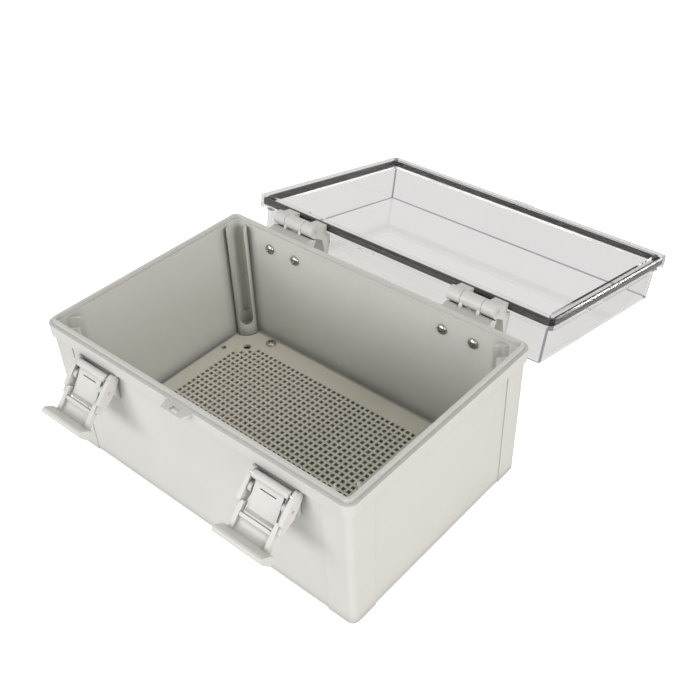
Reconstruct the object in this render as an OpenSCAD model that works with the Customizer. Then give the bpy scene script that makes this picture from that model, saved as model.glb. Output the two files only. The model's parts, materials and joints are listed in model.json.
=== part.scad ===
// Hinged wall enclosure: grey base tub, clear lid tray, perforated mounting plate,
// two pinned hinges at the back and two draw latches at the front.
// Origin: centre of the base underside. +Y towards the hinges, +Z up. The lid stands open.

/* [Body] */
// Width over the rim
body_w = 300; // [290:5:360]
// Depth over the rim
body_d = 200; // [190:5:260]
// Height of the base from its feet to the sealing shelf
base_h = 118.2; // [110:0.1:160]
// Height of the lid from its rim to its outer face
lid_h = 41.5; // [38:0.5:70]
// Corner radius of both rims
rim_r = 8; // [7:0.5:10]
// Wall thickness of the base
base_wall = 3.6; // [3:0.1:4]
// Wall thickness of the lid
lid_wall = 3; // [2.5:0.1:3.2]
// Floor thickness of the base
floor_t = 3.5; // [3:0.5:5]
// How much the base walls draw in from rim to floor
base_draft = 1.2; // [0.4:0.1:1.5]

/* [Rim and seal] */
// Overhang of the base rim band beyond the wall
rim_over = 2.6; // [2.2:0.1:2.8]
// Height of the rim band on the base
band_h = 10; // [9:0.5:11]
// Height of the rim flange on the lid
flange_h = 9.5; // [9:0.5:11]
// Width of the sealing shelf outside the tongue
shelf_w = 3; // [2.8:0.1:3.2]
// Thickness of the sealing tongue
tongue_t = 2.4; // [2:0.1:2.6]
// Height of the sealing tongue
tongue_h = 3; // [2:0.1:3]
// Gap between the two rims when the lid is shut
seam = 0.3; // [0.3:0.1:0.8]
// Depth of the gasket channel in the lid rim
channel_h = 7; // [6.5:0.1:7]

/* [Mounting plate] */
// Gap between the plate's ends and the walls at the floor
plate_gap_x = 7.6; // [7:0.1:12]
// Gap between the plate's long sides and the walls at the floor
plate_gap_y = 7.1; // [6.5:0.1:12]
// Thickness of the mounting plate
plate_t = 2.5; // [1.5:0.5:3]
// Height of the plate's seats above the floor
seat_h = 3; // [2:0.5:8]
// Distance of the plate's screws from its ends and from its long sides
plate_screw_in = [34.2, 4.7];
// Distance of the plate's large holes from its ends and from its long sides
large_hole_in = [20.3, 21.4];
// Distance of the plate's small holes from its ends and from its long sides
small_hole_in = [4.5, 35.1];
// Pitch of the square holes
grid_pitch = 10.5; // [10:0.1:10.5]
// Width of each square hole
grid_hole = 6.2; // [4:0.1:7]
// Columns of square holes
grid_nx = 23; // [15:2:23]
// Rows of square holes
grid_ny = 13; // [9:2:13]

/* [Corner columns] */
// Distance of each column's axis from the rim's side edges
column_inset = 14.5; // [14:0.5:18]
// Outer radius of a column
column_r = 9; // [8.5:0.1:9.5]
// Radius of the driver channel in a column
channel_r = 6.8; // [6:0.1:7]
// Radius of the wall-mounting screw holes
mount_r = 2.6; // [2:0.1:3]

/* [Hinges] */
// Distance of each hinge's and latch's middle from the rim's ends
side_inset = 60; // [50:1:75]
// Height of the base leaf below the rim band
leaf_h = 18; // [16:0.5:24]
// Height of the lid leaf above the lid's flange
lid_leaf_h = 20; // [17:0.5:22]
// Distance of the hinge pin behind the rim
pin_out = 13.5; // [13:0.5:16]
// Height of the hinge pin above the lid's rim face
pin_up = 4.1; // [3.8:0.1:5]
// Radius of the hinge knuckles
knuckle_r = 6; // [5:0.1:6]
// Radius of the hinge pin
pin_r = 2; // [1.5:0.1:2.5]
// Half width of the middle knuckle
mid_knuckle = 9.3; // [8:0.1:10]
// Width of each outer knuckle
end_knuckle = 11.7; // [11:0.1:12]
// Angle at which the lid stands open
lid_open = 192.75; // [150:0.25:192.75]

/* [Latches] */
// Distance of the lever pivot in front of the rim
pivot_out = 8.4; // [8.3:0.1:9]
// Height of the lever pivot below the sealing shelf
pivot_down = 21.5; // [21.4:0.1:22]
// Half width of the lever
lever_half = 20.2; // [19.5:0.1:21]
// Thickness of the lever's side arms
arm_t = 3.5; // [3:0.1:3.6]
// Angle at which the lever stands open
lever_open = 42; // [20:1:42]
// Lean of the hooked-on hook towards the rim
hook_lean = 26.5; // [26:0.1:27]
// Angle between the hanging hook and the vertical
hook_hang = 31; // [26:1:32]
// Thickness of the hook's plate
hook_t = 2.2; // [2:0.1:2.2]
// Radius of the latch pins
latch_pin_r = 1.3; // [1:0.05:1.4]

/* [Screws] */
// Radius of the screw shanks
shank_r = 1.7; // [1.5:0.05:1.9]
// Radius of the screw heads
head_r = 4.5; // [3.5:0.1:4.5]
// Height of the screw heads
head_h = 2.6; // [2:0.1:2.8]

/* [Hidden] */
$fn = 32;

grey = "#d9d8d2";
plate_grey = "#c9c8bd";
clear = "#e8e9e6";
steel = "#b9bbbd";
seal = "#3c3a3d";

thin = 0.01;            // thickness of the slices that loft a drafted shell
fit = 0.05;             // radial clearance of a pin or shank in its bore
free = 0.3;             // gap between pieces that move past each other
lay = 0.1;              // gap between pieces that lie against each other
foot_h = 1;             // height of the corner feet
foot_w = 26;            // length of a corner pad along each wall
pad_t = 0.5;            // how far the corner pads stand out of the wall
arc_steps = 6;          // facets in each rounded plan corner

half_w = body_w / 2;
half_d = body_d / 2;
side_x = half_w - side_inset;
rim_z = base_h + seam;                       // rim face of the shut lid
lid_top = rim_z + lid_h;
flange_z = rim_z + flange_h;
band_z = base_h - band_h;
base_in = rim_over + base_wall;              // inset of the base's inner wall at the rim
base_floor = foot_h + floor_t;
tongue_in = shelf_w + tongue_t;
channel_out = shelf_w - 0.8;                 // insets of the gasket channel's two sides
channel_in = tongue_in + 1;
lid_in = channel_in + 2.2;                   // inset of the lid's inner wall at the rim
lid_out = lid_in - lid_wall;
lid_draft = 0.6;                             // how much the lid's walls draw in to its outer face

function corner_arc(cx, cy, r, from) =
    [for (k = [0:arc_steps]) let (a = from + 90 * k / arc_steps) [cx + r * cos(a), cy + r * sin(a)]];

// Plan outline of the enclosure, drawn in from the rim by an inset.
function outline(inset, r) = let (x = half_w - inset - r, y = half_d - inset - r)
    concat(corner_arc(x, y, r, 0), corner_arc(-x, y, r, 90),
           corner_arc(-x, -y, r, 180), corner_arc(x, -y, r, 270));

function inner_r(inset) = max(rim_r - inset, 2.4);

// Insets of the drafted wall faces at a height.
function base_outer_in(z) = rim_over + base_draft * (base_h - z) / (base_h - foot_h);
function base_inner_in(z) = base_outer_in(z) + base_wall;
function lid_outer_in(z) = lid_out + lid_draft * (z - rim_z) / lid_h;

module slice(z, inset, r) {
    translate([0, 0, z]) linear_extrude(thin) polygon(outline(inset, r));
}

module slab(z0, z1, inset) {
    translate([0, 0, z0]) linear_extrude(z1 - z0) polygon(outline(inset, inner_r(inset)));
}

module ring(z0, z1, outer_inset, inner_inset) {
    translate([0, 0, z0]) linear_extrude(z1 - z0) difference() {
        polygon(outline(outer_inset, inner_r(outer_inset)));
        polygon(outline(inner_inset, inner_r(inner_inset)));
    }
}

module four_corners() {
    for (sx = [-1, 1]) for (sy = [-1, 1]) scale([sx, sy, 1]) children();
}

module both_sides() {
    for (side = [-1, 1]) translate([side * side_x, 0, 0]) children();
}

// Profile in the YZ plane pushed along X, centred on x.
module along_x(x, width) {
    translate([x - width / 2, 0, 0]) rotate([90, 0, 90]) linear_extrude(width) children();
}

module rod_x(half, r) {
    translate([-half, 0, 0]) rotate([0, 90, 0]) cylinder(h = 2 * half, r = r);
}

// Screw hole through a wall, along Y from y0 to y1.
module hole_y(x, y0, y1, z) {
    translate([x, y1, z]) rotate([90, 0, 0]) cylinder(h = y1 - y0, r = shank_r + fit);
}

// Pan-head screw whose shank runs along -Z from the seat at the origin.
module pan_screw(length) {
    crown_z = head_h * 0.45;
    slot_w = head_r * 0.28;
    translate([0, 0, -length]) cylinder(h = length + thin, r = shank_r);
    difference() {
        union() {
            cylinder(h = crown_z, r = head_r);
            translate([0, 0, crown_z]) cylinder(h = head_h - crown_z, r1 = head_r, r2 = head_r * 0.62);
        }
        for (turn = [0, 90]) rotate(turn)
            translate([-head_r * 0.55, -slot_w / 2, head_h * 0.4]) cube([head_r * 1.1, slot_w, head_h]);
    }
}

// ---- base ----

column_x = half_w - column_inset;
column_y = half_d - column_inset;
column_top = base_h - 2.5;
channel_floor = 12;                          // depth of material under the driver channel
mouth_z = 24;                                // where the channel's open mouth starts to round in below
mouth_half = channel_r - 0.4;
plate_half = [half_w - base_in - base_draft - plate_gap_x, half_d - base_in - base_draft - plate_gap_y];
boss_x = plate_half[0] - plate_screw_in[0];
boss_y = plate_half[1] - plate_screw_in[1];
boss_r = 4.5;
plate_z = base_floor + seat_h;
screw_end = 1;                               // depth left solid behind a screw's tip
hinge_screw_dx = 14.2;
hinge_screw_z = band_z - 6;
leaf_t = 5.2;                                // thickness of the hinge leaf on the base
latch_screw_dx = 7;
latch_screw_z = band_z - 8;

module column_plan() {
    wall_in = base_in - 1.2;
    web = column_r - 0.3;
    intersection() {
        translate([column_x, column_y]) {
            circle(column_r);
            rotate(45) translate([0, -web]) square([3 * column_r, 2 * web]);
        }
        polygon(outline(wall_in, inner_r(wall_in)));
    }
}

// Column: solid at its foot, and above the mouth's lower end two ribs that reach into the corner.
module column() {
    difference() {
        translate([0, 0, base_floor - 1]) linear_extrude(column_top - base_floor + 1) column_plan();
        translate([column_x, column_y, mouth_z]) rotate(45)
            translate([0, -mouth_half]) cube([3 * column_r, 2 * mouth_half, base_h]);
    }
}

// Driver channel: a bore down to its floor, and a mouth towards the interior with a rounded lower end.
module column_channel() {
    mouth_outline = concat([for (a = [180:20:360]) [mouth_half * cos(a), mouth_z + mouth_half * sin(a)]],
                           [[mouth_half, base_h + 1], [-mouth_half, base_h + 1]]);
    translate([column_x, column_y, 0]) rotate(225) {
        translate([0, 0, channel_floor]) cylinder(h = base_h, r = channel_r);
        rotate([90, 0, 90]) linear_extrude(2 * column_r) polygon(mouth_outline);
    }
}

// Padlock eye on the front of a rim.
module padlock_tab(z) {
    reach = 8.3;
    eye = [8, 4.5];
    translate([0, -half_d, z]) linear_extrude(3) difference() {
        polygon([[-12.5, 0.5], [12.5, 0.5], [10, -reach], [-10, -reach]]);
        translate([-eye[0] / 2, -reach / 2 - eye[1] / 2]) square(eye);
    }
}

// Slightly proud pads round each corner, ending in the feet.
module corner_pads() {
    intersection() {
        hull() {
            slice(0, rim_over + base_draft - pad_t, inner_r(rim_over));
            slice(band_z, rim_over - pad_t, inner_r(rim_over));
        }
        four_corners() translate([half_w - foot_w, half_d - foot_w, 0]) cube([foot_w, foot_w, base_h]);
    }
}

module shell() {
    difference() {
        union() {
            hull() {
                slice(foot_h, rim_over + base_draft, inner_r(rim_over));
                slice(base_h - thin, rim_over, inner_r(rim_over));
            }
            slab(band_z, base_h, 0);
            corner_pads();
            ring(base_h - 1, base_h + tongue_h, shelf_w, tongue_in);
        }
        hull() {
            slice(base_floor, base_in + base_draft, inner_r(base_in));
            slice(base_h + tongue_h, base_in, inner_r(base_in));
        }
    }
}

module base() {
    color(grey) difference() {
        union() {
            shell();
            four_corners() column();
            four_corners() translate([boss_x, boss_y, base_floor - 1]) cylinder(h = seat_h + 1, r = boss_r);
            padlock_tab(base_h - 3.5);
        }
        four_corners() column_channel();
        four_corners() translate([column_x, column_y, -1]) cylinder(h = channel_floor + 2, r = mount_r);
        four_corners() translate([boss_x, boss_y, base_floor - 2]) cylinder(h = seat_h + 3, r = shank_r + fit);
        both_sides() for (sx = [-1, 1]) {
            hole_y(sx * hinge_screw_dx, half_d - 15, half_d, hinge_screw_z);
            hole_y(sx * latch_screw_dx, -half_d, -half_d + 15, latch_screw_z);
        }
    }
}

// ---- mounting plate ----

notch_r = column_r + 5;

module grid_holes() {
    mx = (grid_nx - 1) / 2;
    my = (grid_ny - 1) / 2;
    for (i = [-mx:mx]) for (j = [-my:my])
        if (mx - abs(i) + my - abs(j) >= 2)
            translate([i * grid_pitch, j * grid_pitch]) square(grid_hole, center = true);
}

module mounting_plate() {
    color(plate_grey) translate([0, 0, plate_z + lay]) linear_extrude(plate_t) difference() {
        square(2 * plate_half, center = true);
        four_corners() {
            translate([column_x, column_y]) circle(notch_r);
            translate([boss_x, boss_y]) circle(shank_r + fit);
            translate(plate_half - large_hole_in) circle(3.5);
            translate(plate_half - small_hole_in) circle(2.4);
        }
        grid_holes();
    }
}

module plate_screws() {
    color(steel) four_corners() translate([boss_x, boss_y, plate_z + plate_t + 2 * lay])
        pan_screw(plate_t + seat_h + 1);
}

// ---- lid, drawn shut and swung open ----

hinge_y = half_d + pin_out;
hinge_z = rim_z + pin_up;
catch_depth = 3.5;                           // depth of the hook's seat in the lid flange
catch_in = 3.6;                              // length of that seat from the flange's face
lid_screw_z = flange_z + 10;

module lid_pose() {
    translate([0, hinge_y, hinge_z]) rotate([-lid_open, 0, 0]) translate([0, -hinge_y, -hinge_z]) children();
}

module lid_shut() {
    edge = 1.6;
    difference() {
        union() {
            hull() {
                slice(rim_z, lid_out, 4);
                slice(lid_top - edge, lid_out + lid_draft, 4);
                slice(lid_top - thin, lid_out + lid_draft + edge, 3);
            }
            slab(rim_z, flange_z, 0);
            padlock_tab(rim_z + 2.5);
        }
        hull() {
            slice(rim_z - 1, lid_in, 3);
            slice(lid_top - lid_wall, lid_in + lid_draft, 3);
        }
        ring(rim_z - 1, rim_z + channel_h, channel_out, channel_in);
        both_sides() {
            seat_half = hook_half + 0.7;
            translate([-seat_half, -half_d - 1, flange_z - catch_depth])
                cube([2 * seat_half, catch_in + 1, catch_depth + 1]);
            for (sx = [-1, 1]) hole_y(sx * hinge_screw_dx, half_d - 15, half_d, lid_screw_z);
        }
    }
}

module lid() {
    color(clear, 0.4) lid_pose() lid_shut();
}

// Gasket with a fine groove along the middle of its sealing face.
module gasket() {
    face_z = base_h + tongue_h + free;
    mid = (channel_out + channel_in) / 2;
    color(seal) lid_pose() difference() {
        ring(face_z, rim_z + channel_h - lay, channel_out + lay, channel_in - lay);
        ring(face_z - 1, face_z + 0.8, mid - 0.4, mid + 0.4);
    }
}

// ---- hinges ----

leaf_half = 21;
leaf_low = band_z - leaf_h;
outer_x = mid_knuckle + free + end_knuckle / 2;
saddle_gap = knuckle_r + 1;                  // distance of the saddle from the pin's axis

module hinge_axis() {
    translate([0, hinge_y, hinge_z]) children();
}

// Base leaf: plate on the back wall, saddle behind the rim band, middle knuckle on two arms.
module hinge_base() {
    back = half_d - base_outer_in(band_z) + lay;
    arm_w = 2.7;
    saddle = [for (a = [218:16:266]) [hinge_y + saddle_gap * cos(a), hinge_z + saddle_gap * sin(a)]];
    difference() {
        union() {
            along_x(0, 2 * leaf_half) polygon(concat(
                [[back, leaf_low], [back + leaf_t - 1, leaf_low], [back + leaf_t, leaf_low + 1.5],
                 [back + leaf_t, band_z - 5.5], [half_d + 8.5, band_z - 1.5], [half_d + 12.4, band_z + 5.3]],
                [for (k = [3:-1:0]) saddle[k]],
                [[half_d + free + lay, base_h - 1], [half_d + free + lay, band_z - free],
                 [back, band_z - free]]));
            for (sx = [-1, 1]) along_x(sx * (mid_knuckle - arm_w / 2), arm_w) polygon([
                [half_d + 3.5, base_h - 4], [hinge_y - knuckle_r * 0.97, hinge_z - knuckle_r * 0.2],
                [hinge_y, hinge_z], [hinge_y + knuckle_r * 0.78, hinge_z - knuckle_r * 0.6],
                [half_d + 12.4, band_z + 5], [half_d + 6, band_z]]);
            hinge_axis() rod_x(mid_knuckle, knuckle_r);
        }
        hinge_axis() rod_x(mid_knuckle + 1, pin_r + fit);
        translate([arm_w - mid_knuckle, half_d + 3, band_z + 1])
            cube([2 * (mid_knuckle - arm_w), 12, hinge_z - knuckle_r - 0.6 - band_z]);
        for (sx = [-1, 1])
            hole_y(sx * hinge_screw_dx, back - 1, back + leaf_t - screw_end, hinge_screw_z);
    }
}

// Lid leaf: plate on the lid's back wall and two gusseted outer knuckles.
module hinge_lid_shut() {
    back = half_d - lid_outer_in(flange_z) + lay;
    plate = 4;
    top = flange_z + lid_leaf_h;
    under = flange_z + lay;
    difference() {
        union() {
            along_x(0, 2 * leaf_half) polygon([[back, under], [back + plate, under],
                [back + plate, top - 1], [back + plate - 1, top], [back, top]]);
            for (sx = [-1, 1]) translate([sx * outer_x, 0, 0]) {
                along_x(0, end_knuckle) polygon([
                    [back, under], [half_d + lay, under], [half_d + lay, rim_z + 0.4],
                    [hinge_y - knuckle_r * 0.8, rim_z + 0.4], [hinge_y, hinge_z],
                    [hinge_y - knuckle_r * 0.2, hinge_z + knuckle_r * 0.98],
                    [half_d + 4, flange_z + 4], [back + plate, top - 3], [back, top - 3]]);
                hinge_axis() rod_x(end_knuckle / 2, knuckle_r);
            }
        }
        hinge_axis() rod_x(2 * leaf_half, pin_r + fit);
        for (sx = [-1, 1])
            hole_y(sx * hinge_screw_dx, back - 1, back + plate - screw_end, lid_screw_z);
    }
}

module hinge_pin() {
    hinge_axis() rod_x(mid_knuckle + free + end_knuckle, pin_r);
}

module hinge_base_left() { color(grey) translate([-side_x, 0, 0]) hinge_base(); }
module hinge_base_right() { color(grey) translate([side_x, 0, 0]) hinge_base(); }
module hinge_lid_left() { color(grey) lid_pose() translate([-side_x, 0, 0]) hinge_lid_shut(); }
module hinge_lid_right() { color(grey) lid_pose() translate([side_x, 0, 0]) hinge_lid_shut(); }
module hinge_pin_left() { color(steel) translate([-side_x, 0, 0]) hinge_pin(); }
module hinge_pin_right() { color(steel) translate([side_x, 0, 0]) hinge_pin(); }

module hinge_base_screws() {
    seat = half_d - base_inner_in(hinge_screw_z - head_r) - lay;
    tip = half_d - base_outer_in(band_z) + lay + leaf_t - screw_end - free;
    color(steel) both_sides() for (sx = [-1, 1])
        translate([sx * hinge_screw_dx, seat, hinge_screw_z]) rotate([90, 0, 0]) pan_screw(tip - seat);
}

module hinge_lid_screws() {
    seat = half_d - lid_outer_in(lid_screw_z + head_r) - lid_wall - lay;
    tip = half_d - lid_outer_in(flange_z) + lay + 4 - screw_end - free;
    color(steel) lid_pose() both_sides() for (sx = [-1, 1])
        translate([sx * hinge_screw_dx, seat, lid_screw_z]) rotate([90, 0, 0]) pan_screw(tip - seat);
}

// ---- latches ----

pivot_y = -half_d - pivot_out;
pivot_z = base_h - pivot_down;
arm_in = lever_half - arm_t;                 // inner face of the side arms
ear_t = 3;
ear_out = arm_in - free;
ear_r = 3.6;
hook_gap = 1;                                // gap between the hook's plate and each ear
hook_half = ear_out - ear_t - hook_gap;      // half width of the hook's plate
front = -4.5;                                // front and back planes of the lever, from its pivot
back = 5;
top_at = 9.8;                                // centre and radius of the arms' rounded tops
top_r = 4;
hook_at = [-3, 8.8];                         // hook pin in the shut lever, from the lever's pivot
lip_under = flange_z - catch_depth + free - pivot_z - hook_at[1];
lip_t = 2.2;
lip_tip = pivot_out - hook_at[0] + 1.6;      // reach of the hook's lip from its pin

module lever_pose() {
    translate([0, pivot_y, pivot_z]) rotate([-lever_open, 0, 0]) children();
}

// The hook is drawn hooked on, and hangs down from its pin when the latch is open.
module hook_pose() {
    lever_pose() translate([0, hook_at[0], hook_at[1]])
        rotate([180 + lever_open - hook_hang + hook_lean, 0, 0]) children();
}

module latch_bracket() {
    wall_y = -half_d + base_outer_in(band_z) - lay;
    plate_y = wall_y - 2.6;
    foot = pivot_z - 14;
    top = band_z - 1;
    difference() {
        union() {
            along_x(0, 2 * ear_out) polygon([[wall_y, foot], [wall_y, top], [plate_y, top],
                                             [plate_y, foot + 1], [plate_y + 1, foot]]);
            for (sx = [-1, 1]) along_x(sx * (ear_out - ear_t / 2), ear_t) {
                polygon([[wall_y, pivot_z - 12], [pivot_y + 1, pivot_z - ear_r * 0.97], [pivot_y, pivot_z],
                         [pivot_y + 1, pivot_z + ear_r * 0.97], [wall_y, pivot_z + 4]]);
                translate([pivot_y, pivot_z]) circle(ear_r);
            }
        }
        translate([0, pivot_y, pivot_z]) rod_x(2 * lever_half, latch_pin_r + fit);
        for (sx = [-1, 1]) hole_y(sx * latch_screw_dx, plate_y - 1, wall_y + 1, latch_screw_z);
    }
}

// Lever: two deep arms round the pivot, a narrower frame below them with a cross bar,
// a scooped finger well and a wide pull lip.
module lever() {
    step_z = -11.5;
    bar_top = -17.2;
    bar_low = bar_top - 2.4;
    lip_top = -29.5;
    low = -37;
    tip_z = -33.2;
    tip_r = 2.6;
    frame_in = arm_in - 2.7;
    difference() {
        union() {
            for (sx = [-1, 1]) {
                along_x(sx * (arm_in + arm_t / 2), arm_t) {
                    translate([0, top_at]) circle(top_r);
                    polygon([[front, 4], [-top_r + 0.05, top_at + 0.6], [top_r - 0.05, top_at + 0.6],
                             [back, 4], [back, -6], [1, step_z - 5],
                             [-2.5, step_z - 5], [-2.5, step_z], [front + 1, step_z], [front, step_z + 1]]);
                }
                along_x(sx * (frame_in + arm_t / 2), arm_t) polygon([
                    [front + 1, step_z + 1.5], [1, step_z + 1.5], [1, lip_top - 2], [front + 1, lip_top - 2]]);
            }
            along_x(0, 2 * frame_in + 1) polygon([[front + 1.5, bar_low], [front + 1.5, bar_top],
                                                  [0, bar_top], [1, bar_low]]);
            along_x(0, 2 * frame_in + 1) difference() {
                polygon([[front + 1, lip_top - 2], [1, lip_top - 2], [1, bar_low + 0.5], [front + 1, bar_low + 0.5]]);
                translate([-10.5, (bar_low + lip_top) / 2 + 0.5]) circle(9.6, $fn = 64);
            }
            along_x(0, 2 * lever_half + 3.6) {
                polygon([[1, lip_top - 1], [front + 1, lip_top], [-9.8, tip_z + tip_r], [-9.8, tip_z - tip_r],
                         [-3, low], [1, low + 1.5]]);
                translate([-9.8, tip_z]) circle(tip_r);
            }
        }
        rod_x(2 * lever_half, latch_pin_r + fit);
        translate([0, hook_at[0], hook_at[1]]) rod_x(lever_half - 1, latch_pin_r + fit);
    }
}

// Point of the leaning hook plate: along it from the pin, and out from its middle.
function on_hook(along, out) = [along * sin(hook_lean) + out * cos(hook_lean),
                                along * cos(hook_lean) - out * sin(hook_lean)];

// Hook: barrel on its pin, flat plate with a short slit, lip at the end.
module hook() {
    slit = [14, 0.8];
    slit_at = 6;
    half_t = hook_t / 2;
    lip_top = lip_under + lip_t;
    outer = on_hook((lip_top - half_t * sin(hook_lean)) / cos(hook_lean), -half_t);
    inner = on_hook((lip_under + half_t * sin(hook_lean)) / cos(hook_lean), half_t);
    bend = (lip_under - 1) / cos(hook_lean);
    barrel_half = ear_out - 0.8;
    difference() {
        union() {
            rod_x(barrel_half, 3);
            along_x(0, 2 * hook_half) polygon([
                on_hook(0, half_t), on_hook(bend, half_t), [inner[0] + 0.6, lip_under],
                [lip_tip, lip_under], [lip_tip, lip_top - 0.6], [lip_tip - 0.6, lip_top],
                [outer[0] + 0.8, lip_top], on_hook(bend + 1.6, -half_t), on_hook(0, -half_t)]);
        }
        rod_x(lever_half, latch_pin_r + fit);
        rotate([-hook_lean, 0, 0]) translate([-slit[0] / 2, -hook_t, slit_at])
            cube([slit[0], 2 * hook_t, slit[1]]);
    }
}

// Two short pins, each through one arm and one ear.
module pivot_pins() {
    from = ear_out - ear_t;
    for (sx = [-1, 1]) translate([sx * (lever_half + from) / 2, pivot_y, pivot_z])
        rod_x((lever_half - from) / 2, latch_pin_r);
}

module hook_pin() {
    rod_x(lever_half - 1.2, latch_pin_r);
}

module latch_bracket_left() { color(grey) translate([-side_x, 0, 0]) latch_bracket(); }
module latch_bracket_right() { color(grey) translate([side_x, 0, 0]) latch_bracket(); }
module latch_lever_left() { color(grey) translate([-side_x, 0, 0]) lever_pose() lever(); }
module latch_lever_right() { color(grey) translate([side_x, 0, 0]) lever_pose() lever(); }
module latch_hook_left() { color(grey) translate([-side_x, 0, 0]) hook_pose() hook(); }
module latch_hook_right() { color(grey) translate([side_x, 0, 0]) hook_pose() hook(); }
module pivot_pins_left() { color(steel) translate([-side_x, 0, 0]) pivot_pins(); }
module pivot_pins_right() { color(steel) translate([side_x, 0, 0]) pivot_pins(); }
module hook_pin_left() { color(steel) translate([-side_x, 0, 0]) hook_pose() hook_pin(); }
module hook_pin_right() { color(steel) translate([side_x, 0, 0]) hook_pose() hook_pin(); }

module latch_screws() {
    seat = half_d - base_inner_in(latch_screw_z - head_r) - lay;
    tip = half_d - base_outer_in(band_z) + lay + 2.6 - free;
    color(steel) both_sides() for (sx = [-1, 1])
        translate([sx * latch_screw_dx, -seat, latch_screw_z]) rotate([-90, 0, 0]) pan_screw(tip - seat);
}

base();
mounting_plate();
plate_screws();
lid();
gasket();
hinge_base_left();
hinge_base_right();
hinge_lid_left();
hinge_lid_right();
hinge_pin_left();
hinge_pin_right();
hinge_base_screws();
hinge_lid_screws();
latch_bracket_left();
latch_bracket_right();
latch_lever_left();
latch_lever_right();
latch_hook_left();
latch_hook_right();
pivot_pins_left();
pivot_pins_right();
hook_pin_left();
hook_pin_right();
latch_screws();
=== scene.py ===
"""Hinged wall enclosure, open: finishes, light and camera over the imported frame."""
import json
import math

import bmesh
import bpy
from mathutils import Matrix, Vector


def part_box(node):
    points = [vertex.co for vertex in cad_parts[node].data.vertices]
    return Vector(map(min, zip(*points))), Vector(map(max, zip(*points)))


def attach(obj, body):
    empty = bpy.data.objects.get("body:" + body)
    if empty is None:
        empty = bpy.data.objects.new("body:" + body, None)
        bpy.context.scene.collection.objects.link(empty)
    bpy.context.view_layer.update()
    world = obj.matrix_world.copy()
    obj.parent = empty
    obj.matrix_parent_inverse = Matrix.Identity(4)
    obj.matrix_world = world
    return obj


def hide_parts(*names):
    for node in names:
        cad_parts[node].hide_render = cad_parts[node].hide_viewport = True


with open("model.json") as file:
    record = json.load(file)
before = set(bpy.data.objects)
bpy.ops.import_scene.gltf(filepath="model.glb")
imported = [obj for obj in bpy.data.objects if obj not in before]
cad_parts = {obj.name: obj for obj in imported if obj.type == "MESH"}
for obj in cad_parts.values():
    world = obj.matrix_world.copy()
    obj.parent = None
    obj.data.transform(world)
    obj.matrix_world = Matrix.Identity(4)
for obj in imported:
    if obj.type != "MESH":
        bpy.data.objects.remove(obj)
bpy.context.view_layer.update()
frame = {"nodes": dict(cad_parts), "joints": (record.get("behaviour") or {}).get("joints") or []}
nodes = frame["nodes"]
MM = 0.001
WELD_GAP = 0.002 * MM       # corners of a CAD mesh nearer than this are one corner

# ---- materials ----

MIX_A, MIX_B, MIX_OUT = 6, 7, 2     # colour sockets of a Mix node

BODY = (0.69, 0.685, 0.65)
PLATE = (0.69, 0.665, 0.565)
SEAL = (0.022, 0.021, 0.024)
STEEL = (0.50, 0.475, 0.44)
ZINC = (0.66, 0.65, 0.63)


def material(name):
    """A new node material with its Principled shader, ready for links."""
    made = bpy.data.materials.new(name)
    made.use_nodes = True
    return made, made.node_tree, made.node_tree.nodes["Principled BSDF"]


def noise(tree, scale, detail=3.0, rough=0.55):
    """Noise texture in the part's own coordinates, in metres."""
    place = tree.nodes.new("ShaderNodeTexCoord")
    made = tree.nodes.new("ShaderNodeTexNoise")
    made.inputs["Scale"].default_value = scale
    made.inputs["Detail"].default_value = detail
    made.inputs["Roughness"].default_value = rough
    tree.links.new(place.outputs["Object"], made.inputs["Vector"])
    return made.outputs["Fac"]


def spread(tree, value, low, high):
    """Maps a 0..1 value to low..high."""
    made = tree.nodes.new("ShaderNodeMapRange")
    made.inputs["To Min"].default_value = low
    made.inputs["To Max"].default_value = high
    tree.links.new(value, made.inputs["Value"])
    return made.outputs["Result"]


def tint(tree, value, low, high):
    """Blends between two colours."""
    made = tree.nodes.new("ShaderNodeMix")
    made.data_type = "RGBA"
    made.inputs[MIX_A].default_value = (*low, 1)
    made.inputs[MIX_B].default_value = (*high, 1)
    tree.links.new(value, made.inputs["Factor"])
    return made.outputs[MIX_OUT]


def bump(tree, value, distance):
    """Surface normals for a texture of the given depth."""
    made = tree.nodes.new("ShaderNodeBump")
    made.inputs["Distance"].default_value = distance
    made.inputs["Strength"].default_value = 1.0
    tree.links.new(value, made.inputs["Height"])
    return made.outputs["Normal"]


def scaled(colour, factor):
    """A lighter or darker version of a colour."""
    return tuple(min(1.0, c * factor) for c in colour)


def painted_crevice_shade(tree, reach, deepest):
    """Painted shade: falls from 1 on open surfaces to deepest in gaps and corners narrower than
    reach.
    """
    made = tree.nodes.new("ShaderNodeAmbientOcclusion")
    made.samples = 8
    made.inputs["Distance"].default_value = reach
    return spread(tree, made.outputs["AO"], deepest, 1.0)


def shown_to(tree, ray, usual, special):
    """Shows the special shader to one kind of ray and the usual one to all others."""
    rays = tree.nodes.new("ShaderNodeLightPath")
    mix = tree.nodes.new("ShaderNodeMixShader")
    tree.links.new(rays.outputs[ray], mix.inputs["Fac"])
    tree.links.new(usual, mix.inputs[1])
    tree.links.new(special, mix.inputs[2])
    tree.links.new(mix.outputs["Shader"], tree.nodes["Material Output"].inputs["Surface"])


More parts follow.
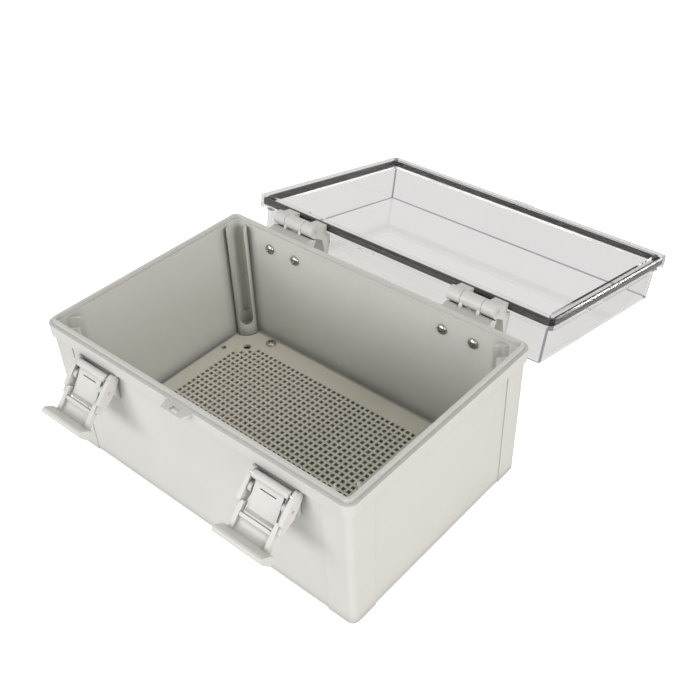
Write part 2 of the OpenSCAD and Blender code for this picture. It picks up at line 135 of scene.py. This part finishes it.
def moulded(name, colour, roughness, grain, reach, deepest):
    """Moulded plastic: faint mottling, fine grain, uneven gloss, and painted shade that darkens
    its crevices.
    """
    made, tree, shader = material(name)
    mottle = tint(tree, noise(tree, 28), scaled(colour, 0.975), scaled(colour, 1.02))
    # painted shade: the base colour falls towards 0.12 of itself in gaps and corners, standing in
    # for occlusion
    shaded = tint(tree, painted_crevice_shade(tree, reach, deepest), scaled(colour, 0.12), colour)
    tree.links.new(mottle, shaded.node.inputs[MIX_B])
    tree.links.new(shaded, shader.inputs["Base Color"])
    gloss = spread(tree, noise(tree, 160, 4), roughness - 0.06, roughness + 0.08)
    tree.links.new(gloss, shader.inputs["Roughness"])
    tree.links.new(bump(tree, noise(tree, 900, 2), grain), shader.inputs["Normal"])
    shader.inputs["Specular IOR Level"].default_value = 0.45
    return made


def rubber():
    """Matt black foam rubber with a fine grain."""
    made, tree, shader = material("seal_rubber")
    mottle = tint(tree, noise(tree, 220), scaled(SEAL, 0.8), scaled(SEAL, 1.3))
    tree.links.new(mottle, shader.inputs["Base Color"])
    tree.links.new(spread(tree, noise(tree, 400), 0.5, 0.68), shader.inputs["Roughness"])
    tree.links.new(bump(tree, noise(tree, 1500, 2), 0.04 * MM), shader.inputs["Normal"])
    return made


def steel(name, colour, low, high):
    """Turned and plated steel with a gloss that wanders between two roughnesses."""
    made, tree, shader = material(name)
    shader.inputs["Metallic"].default_value = 1.0
    mottle = tint(tree, noise(tree, 300), scaled(colour, 0.9), colour)
    tree.links.new(mottle, shader.inputs["Base Color"])
    tree.links.new(spread(tree, noise(tree, 900, 4), low, high), shader.inputs["Roughness"])
    tree.links.new(bump(tree, noise(tree, 2500, 2), 0.01 * MM), shader.inputs["Normal"])
    return made


def clear_plastic(name, dark, light):
    """Clear polycarbonate: thin walls that hardly bend the light, under a glossy skin."""
    made, tree, shader = material(name)
    tree.links.new(tint(tree, noise(tree, 25), dark, light), shader.inputs["Base Color"])
    shader.inputs["Transmission Weight"].default_value = 1.0
    shader.inputs["IOR"].default_value = 1.06
    shader.inputs["Coat Weight"].default_value = 0.5
    shader.inputs["Coat Roughness"].default_value = 0.03
    shader.inputs["Coat IOR"].default_value = 1.5
    tree.links.new(spread(tree, noise(tree, 60), 0.0, 0.02), shader.inputs["Roughness"])
    through = tree.nodes.new("ShaderNodeBsdfTransparent")
    through.inputs["Color"].default_value = (0.93, 0.925, 0.93, 1)
    shown_to(tree, "Is Shadow Ray", shader.outputs["BSDF"], through.outputs["BSDF"])
    return made


# the last two numbers set the painted crevice shade: how far it reaches and its darkest factor
body_grey = moulded("body_plastic", BODY, 0.36, 0.02 * MM, 9 * MM, 0.42)
fittings_grey = moulded("fittings_plastic", scaled(BODY, 0.99), 0.34, 0.02 * MM, 5 * MM, 0.2)
plate_grey = moulded("plate_plastic", PLATE, 0.45, 0.03 * MM, 5 * MM, 0.25)
seal_rubber = rubber()
screw_steel = steel("screw_steel", STEEL, 0.14, 0.26)
pin_steel = steel("pin_steel", ZINC, 0.34, 0.5)
clear = clear_plastic("clear_polycarbonate", (0.955, 0.94, 0.925), (0.975, 0.96, 0.945))
# darker copies of the clear plastic: painted shade for the lid's bevels and outer corners, where
# light runs along its walls
clear_painted_line_shade = clear_plastic("clear_polycarbonate_painted_line_shade",
                           (0.62, 0.60, 0.65), (0.72, 0.70, 0.74))
clear_painted_edge_shade = clear_plastic("clear_polycarbonate_painted_edge_shade",
                           (0.12, 0.11, 0.165), (0.20, 0.185, 0.25))


def wear(piece, look):
    """Gives a piece one material and nothing else."""
    piece.data.materials.clear()
    piece.data.materials.append(look)


def soften(piece, radius, segments, sharper_than):
    """Smooth shading, with a small bevel on edges sharper than the angle in degrees."""
    for polygon in piece.data.polygons:
        polygon.use_smooth = True
    edges = piece.modifiers.new("edges", "BEVEL")
    edges.width = radius
    edges.segments = segments
    edges.limit_method = "ANGLE"
    edges.angle_limit = math.radians(sharper_than)
    edges.harden_normals = True
    return edges


def finish(name, look, radius):
    """Gives a CAD node its material and softly rounded edges."""
    piece = nodes[name]
    wear(piece, look)
    weld = piece.modifiers.new("weld", "WELD")
    weld.merge_threshold = WELD_GAP
    soften(piece, radius, 2, 32).miter_outer = "MITER_ARC"
    flat = piece.modifiers.new("flat_faces", "WEIGHTED_NORMAL")
    flat.keep_sharp = True
    return piece


finish("base", body_grey, 0.45 * MM)
finish("gasket", seal_rubber, 0.25 * MM)
for side in ("left", "right"):
    for part in ("hinge_base", "hinge_lid", "latch_bracket", "latch_lever", "latch_hook"):
        finish(f"{part}_{side}", fittings_grey, 0.35 * MM)
    for part in ("hinge_pin", "pivot_pins", "hook_pin"):
        finish(f"{part}_{side}", pin_steel, 0.15 * MM)


def painted_edge_shade(piece, line, edge, square):
    """Paints shade on the lid where light runs along its wall: faint painted shade on the bevels,
    deep painted shade on the outer corners.

    square turns the piece's faces to the axes before their directions are compared."""
    piece.data.materials.append(line)
    piece.data.materials.append(edge)
    line_slot, edge_slot, straight = 1, 2, 0.85
    piece.modifiers["edges"].material = line_slot
    low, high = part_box("lid")
    middle = (Vector(low) + Vector(high)) / 2
    for polygon in piece.data.polygons:
        slanted = max(abs(part) for part in square @ polygon.normal) < straight
        if slanted and polygon.normal.dot(polygon.center - middle) > 0:
            polygon.material_index = edge_slot


lid_tilt = next(j for j in frame["joints"] if j["name"] == "lid_hinge")["range_deg"][1]
shut_to_rest = Matrix.Rotation(math.radians(-lid_tilt), 3, "X")
painted_edge_shade(finish("lid", clear, 0.35 * MM), clear_painted_line_shade, clear_painted_edge_shade,
           shut_to_rest.transposed())


# ---- pieces that replace plainer solids ----

def placed(name, data):
    """A new object in the scene."""
    made = bpy.data.objects.new(name, data)
    bpy.context.scene.collection.objects.link(made)
    return made


def as_mesh(bm, name):
    """Closes a bmesh into a named mesh."""
    mesh = bpy.data.meshes.new(name)
    bm.to_mesh(mesh)
    bm.free()
    return mesh


def frozen(drawn):
    """The final mesh of an object, with its modifiers or curve settings applied."""
    bpy.context.view_layer.update()
    graph = bpy.context.evaluated_depsgraph_get()
    return bpy.data.meshes.new_from_object(drawn.evaluated_get(graph))


def new_piece(name, mesh, look, body, slot, *replaced):
    """A visible piece that moves with its body and stands in for the replaced nodes."""
    piece = placed(name, mesh)
    wear(piece, look)
    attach(piece, body)
    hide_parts(*replaced)
    return piece


def circle_points(x, y, radius, count=28):
    """Points round a circle."""
    turns = [2 * math.pi * k / count for k in range(count)]
    return [(x + radius * math.cos(turn), y + radius * math.sin(turn)) for turn in turns]


def notched_plate_edge(half_w, half_d, column, notch_r):
    """The plate's outline, with an arc of notch_r round the column beside each corner."""
    in_x = column[0] - math.sqrt(notch_r ** 2 - (half_d - column[1]) ** 2)
    in_y = column[1] - math.sqrt(notch_r ** 2 - (half_w - column[0]) ** 2)
    edge = []
    for sx, sy in ((1, 1), (-1, 1), (-1, -1), (1, -1)):
        arc = []
        for k in range(0, 181, 6):
            angle = math.atan2(-sy, -sx) + math.radians(90 - k)
            x = sx * column[0] + notch_r * math.cos(angle)
            y = sy * column[1] + notch_r * math.sin(angle)
            if abs(x) < half_w and abs(y) < half_d:
                arc.append((x, y))
        first, last = (sx * half_w, sy * in_y), (sx * in_x, sy * half_d)
        if sx * sy < 0:
            first, last = last, first
        if math.dist(arc[0], first) > math.dist(arc[-1], first):
            arc.reverse()
        edge += [first] + arc + [last]
    return edge


NOTCH_R = 14 * MM
COLUMN_OUT = 0.5 * MM       # the columns' middles, beyond the plate's short edges
# The round holes by each corner: in from the short edge, in from the long edge, radius.
CORNER_HOLES = ((34.2 * MM, 4.7 * MM, 1.75 * MM),
                (20.3 * MM, 21.4 * MM, 3.5 * MM),
                (4.5 * MM, 35.1 * MM, 2.4 * MM))
GRID_PITCH, GRID_HOLE = 5.25 * MM, 3.1 * MM
GRID_COLUMNS, GRID_ROWS = 46, 26
GRID_CUT = 3                # diagonals of holes left out at each corner


def perforated_plate():
    """Mounting plate with its full field of small square holes."""
    low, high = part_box("mounting_plate")
    half_w, half_d = high[0], high[1]
    thick = high[2] - low[2]
    outlines = [notched_plate_edge(half_w, half_d, (half_w + COLUMN_OUT, half_d), NOTCH_R)]
    for sx in (-1, 1):
        for sy in (-1, 1):
            for in_x, in_y, radius in CORNER_HOLES:
                outlines.append(circle_points(sx * (half_w - in_x), sy * (half_d - in_y), radius))
    last_i, last_j, h = GRID_COLUMNS - 1, GRID_ROWS - 1, GRID_HOLE / 2
    for i in range(GRID_COLUMNS):
        for j in range(GRID_ROWS):
            if min(i, last_i - i) + min(j, last_j - j) < GRID_CUT:
                continue
            x, y = (i - last_i / 2) * GRID_PITCH, (j - last_j / 2) * GRID_PITCH
            outlines.append([(x - h, y - h), (x + h, y - h), (x + h, y + h), (x - h, y + h)])
    curve = bpy.data.curves.new("plate_outline", "CURVE")
    curve.dimensions = "2D"
    curve.fill_mode = "BOTH"
    curve.extrude = thick / 2
    for outline in outlines:
        spline = curve.splines.new("POLY")
        spline.points.add(len(outline) - 1)
        for point, (x, y) in zip(spline.points, outline):
            point.co = (x, y, 0, 1)
        spline.use_cyclic_u = True
    drawn = placed("plate_outline", curve)
    mesh = frozen(drawn)
    bpy.data.objects.remove(drawn)
    mesh.transform(Matrix.Translation((0, 0, (low[2] + high[2]) / 2)))
    new_piece("perforated_plate", mesh, plate_grey, "base", "plate_grey", "mounting_plate")


HEAD_H = 2.6 * MM


def dome_screw(head_r, length):
    """Round-head screw along -Z from its seat at the origin."""
    shank_r, edge = 1.7 * MM, 0.55 * MM
    profile = [(0, -length), (shank_r * 0.6, -length), (shank_r, -length + 0.8 * MM), (shank_r, 0),
               (head_r - 0.1 * MM, 0), (head_r, 0.15 * MM), (head_r, edge)]
    steps = 8
    for k in range(1, steps):
        angle = math.radians(90 * k / steps)
        profile.append((head_r * math.cos(angle), edge + (HEAD_H - edge) * math.sin(angle)))
    profile.append((0, HEAD_H))
    bm = bmesh.new()
    turns = 40
    rings = []
    for r, z in profile:
        around = circle_points(0, 0, r, turns) if r else [(0, 0)]
        rings.append([bm.verts.new((x, y, z)) for x, y in around])
    for a, b in zip(rings, rings[1:]):
        for k in range(turns):
            corners = [a[k % len(a)], a[(k + 1) % len(a)], b[(k + 1) % len(b)], b[k % len(b)]]
            bm.faces.new(list(dict.fromkeys(corners)))
    return as_mesh(bm, "dome_screw")


def cross_cutter(reach):
    """Two tapered blades that cut the driver recess."""
    bm = bmesh.new()
    for turn in (0, 90):
        blade = bmesh.ops.create_cone(bm, cap_ends=True, segments=4, radius1=reach * 0.55,
                                      radius2=reach, depth=HEAD_H)["verts"]
        squared, crossed = (Matrix.Rotation(math.radians(a), 3, "Z") for a in (45, turn))
        bmesh.ops.rotate(bm, verts=blade, matrix=squared)
        bmesh.ops.scale(bm, verts=blade, vec=(1, 0.3, 1))
        bmesh.ops.rotate(bm, verts=blade, matrix=crossed)
    return as_mesh(bm, "cross_cutter")


def recessed_screw(head_r, length):
    """Round-head screw with a cross recess."""
    screw = placed("screw", dome_screw(head_r, length))
    cutter = placed("cutter", cross_cutter(head_r * 0.8))
    cutter.location = (0, 0, HEAD_H)
    cut = screw.modifiers.new("cut", "BOOLEAN")
    cut.operation = "DIFFERENCE"
    cut.object = cutter
    cut.solver = "EXACT"
    cut.use_self = True
    mesh = frozen(screw)
    bpy.data.objects.remove(screw)
    bpy.data.objects.remove(cutter)
    return mesh


def separate_solids(mesh):
    """Corner points of each separate solid in a mesh."""
    bm = bmesh.new()
    bm.from_mesh(mesh)
    bmesh.ops.remove_doubles(bm, verts=bm.verts, dist=WELD_GAP)
    left = set(bm.verts)
    solids = []
    while left:
        solid = [left.pop()]
        for vert in solid:
            near = {edge.other_vert(vert) for edge in vert.link_edges} & left
            left -= near
            solid += near
        solids.append([vert.co.copy() for vert in solid])
    bm.free()
    return solids


def screws(node, name, body, head_way, turn):
    """Round-head screws in the places of the CAD node's; head_way points out of the heads.

    turn is the first recess's angle in degrees, and each next one stands 37 further on."""
    aim = Vector((0, 0, 1)).rotation_difference(head_way).to_matrix()
    joined = bmesh.new()
    solids = separate_solids(nodes[node].data)
    solids.sort(key=lambda points: sum(points, Vector()).x)
    for k, solid in enumerate(solids):
        local = [aim.inverted() @ point for point in solid]
        low, high = (Vector(end(p[i] for p in local) for i in range(3)) for end in (min, max))
        screw = recessed_screw((high.x - low.x) / 2, high.z - low.z - HEAD_H)
        seat = Vector(((low.x + high.x) / 2, (low.y + high.y) / 2, high.z - HEAD_H))
        spin = Matrix.Rotation(math.radians(turn + 37 * k), 4, "Z")
        screw.transform(Matrix.Translation(aim @ seat) @ aim.to_4x4() @ spin)
        joined.from_mesh(screw)
        bpy.data.meshes.remove(screw)
    piece = new_piece(name, as_mesh(joined, name), screw_steel, body, "steel", node)
    soften(piece, 0.08 * MM, 1, 35)


perforated_plate()
screws("plate_screws", "plate_round_screws", "base", Vector((0, 0, 1)), 20)
screws("hinge_base_screws", "hinge_base_round_screws", "base", Vector((0, -1, 0)), 10)
screws("latch_screws", "latch_round_screws", "base", Vector((0, 1, 0)), 30)
screws("hinge_lid_screws", "hinge_lid_round_screws", "lid",
       shut_to_rest @ Vector((0, -1, 0)), 15)


# ---- floor, light and camera ----

FLOOR_SIZE, FLOOR_GAP = 8, 0.2 * MM
NEAR, NEAR_GLOW = 0.5, 0.6      # the floor glows faintly by the object, to keep its shadow,
FAR, FAR_GLOW = 2.0, 1.0        # and fully from here on, where it is the background
GLOW_THROUGH_LID = 0.77
ROOM_GLOW, ROOM_FILL, BACKDROP_EXTRA = 0.8, 0.24, 0.2


def white_floor():
    """Plain pale floor that takes the object's shadow and fades into a white background."""
    bpy.ops.mesh.primitive_plane_add(size=FLOOR_SIZE, location=(0, 0, -FLOOR_GAP))
    floor = bpy.context.object
    floor.name = "floor"
    made, tree, shader = material("floor_white")
    shader.inputs["Base Color"].default_value = (0.86, 0.86, 0.86, 1)
    shader.inputs["Roughness"].default_value = 0.9
    shader.inputs["Specular IOR Level"].default_value = 0.1
    shader.inputs["Emission Color"].default_value = (1, 1, 1, 1)
    rays = tree.nodes.new("ShaderNodeLightPath")
    place = tree.nodes.new("ShaderNodeTexCoord")
    away = tree.nodes.new("ShaderNodeVectorMath")
    away.operation = "LENGTH"
    tree.links.new(place.outputs["Object"], away.inputs[0])
    far = tree.nodes.new("ShaderNodeMapRange")
    far.inputs["From Min"].default_value = NEAR
    far.inputs["From Max"].default_value = FAR
    far.inputs["To Min"].default_value = NEAR_GLOW
    far.inputs["To Max"].default_value = FAR_GLOW
    tree.links.new(away.outputs["Value"], far.inputs["Value"])
    lift = tree.nodes.new("ShaderNodeMath")
    lift.operation = "MULTIPLY"
    tree.links.new(far.outputs["Result"], lift.inputs[0])
    tree.links.new(rays.outputs["Is Camera Ray"], lift.inputs[1])
    tree.links.new(lift.outputs["Value"], shader.inputs["Emission Strength"])
    seen_through = tree.nodes.new("ShaderNodeEmission")
    seen_through.inputs["Strength"].default_value = GLOW_THROUGH_LID
    shown_to(tree, "Is Transmission Ray", shader.outputs["BSDF"],
             seen_through.outputs["Emission"])
    floor.data.materials.append(made)


def studio_world():
    """White room: dim as a light, bright in mirrors and glass, full white to the camera."""
    world = bpy.data.worlds.new("studio")
    bpy.context.scene.world = world
    world.use_nodes = True
    tree = world.node_tree
    rays = tree.nodes.new("ShaderNodeLightPath")
    back = tree.nodes["Background"]
    back.inputs["Color"].default_value = (1, 1, 1, 1)
    strength = tree.nodes.new("ShaderNodeMath")
    strength.operation = "MULTIPLY_ADD"
    tree.links.new(rays.outputs["Is Camera Ray"], strength.inputs[0])
    strength.inputs[1].default_value = BACKDROP_EXTRA
    room = spread(tree, rays.outputs["Is Diffuse Ray"], ROOM_GLOW, ROOM_FILL)
    tree.links.new(room, strength.inputs[2])
    tree.links.new(strength.outputs["Value"], back.inputs["Strength"])


def softbox(name, at, towards, size, power, colour=(1, 1, 1), mirrored=True):
    """Area lamp; one that is not mirrored lights plain faces but shows in no glossy one."""
    lamp = bpy.data.lights.new(name, "AREA")
    lamp.shape = "RECTANGLE"
    lamp.size, lamp.size_y = size
    lamp.energy = power
    lamp.color = colour
    box = placed(name, lamp)
    box.location = at
    box.rotation_euler = (Vector(towards) - Vector(at)).to_track_quat("-Z", "Y").to_euler()
    box.visible_glossy = mirrored
    box.visible_transmission = mirrored


def camera(at, azimuth, elevation, roll, lens):
    """Camera at a place, looking along the given direction, azimuth 0 being along +Y."""
    az, el, tilt = (math.radians(a) for a in (azimuth, elevation, roll))
    back = Vector((math.sin(az) * math.cos(el), -math.cos(az) * math.cos(el), math.sin(el)))
    right = (-back).cross(Vector((0, 0, 1))).normalized()
    up = right.cross(-back)
    turned = math.cos(tilt) * right + math.sin(tilt) * up
    upright = math.cos(tilt) * up - math.sin(tilt) * right
    lookout = bpy.data.cameras.new("camera")
    lookout.lens = lens
    lookout.sensor_width = 36
    turning = Matrix((turned, upright, back)).transposed().to_4x4()
    stand = placed("camera", lookout)
    stand.matrix_world = Matrix.Translation(at) @ turning
    bpy.context.scene.camera = stand


white_floor()
studio_world()
middle = (0, 0.05, 0.06)
softbox("front", (-0.5, -2.0, 0.7), middle, (1.6, 0.9), 26)
softbox("side", (2.0, -0.2, 0.7), middle, (0.9, 1.6), 26, (1.0, 0.965, 0.94))
softbox("back", (-1.2, 1.9, 0.6), middle, (1.4, 0.8), 18, mirrored=False)
softbox("top", (0.1, -0.2, 2.0), middle, (1.6, 1.6), 8, mirrored=False)
camera((0.41924, -0.39462, 0.55701), 41.846, 38.501, -2.180, 51.04)

view = bpy.context.scene.view_settings
view.view_transform = "Standard"
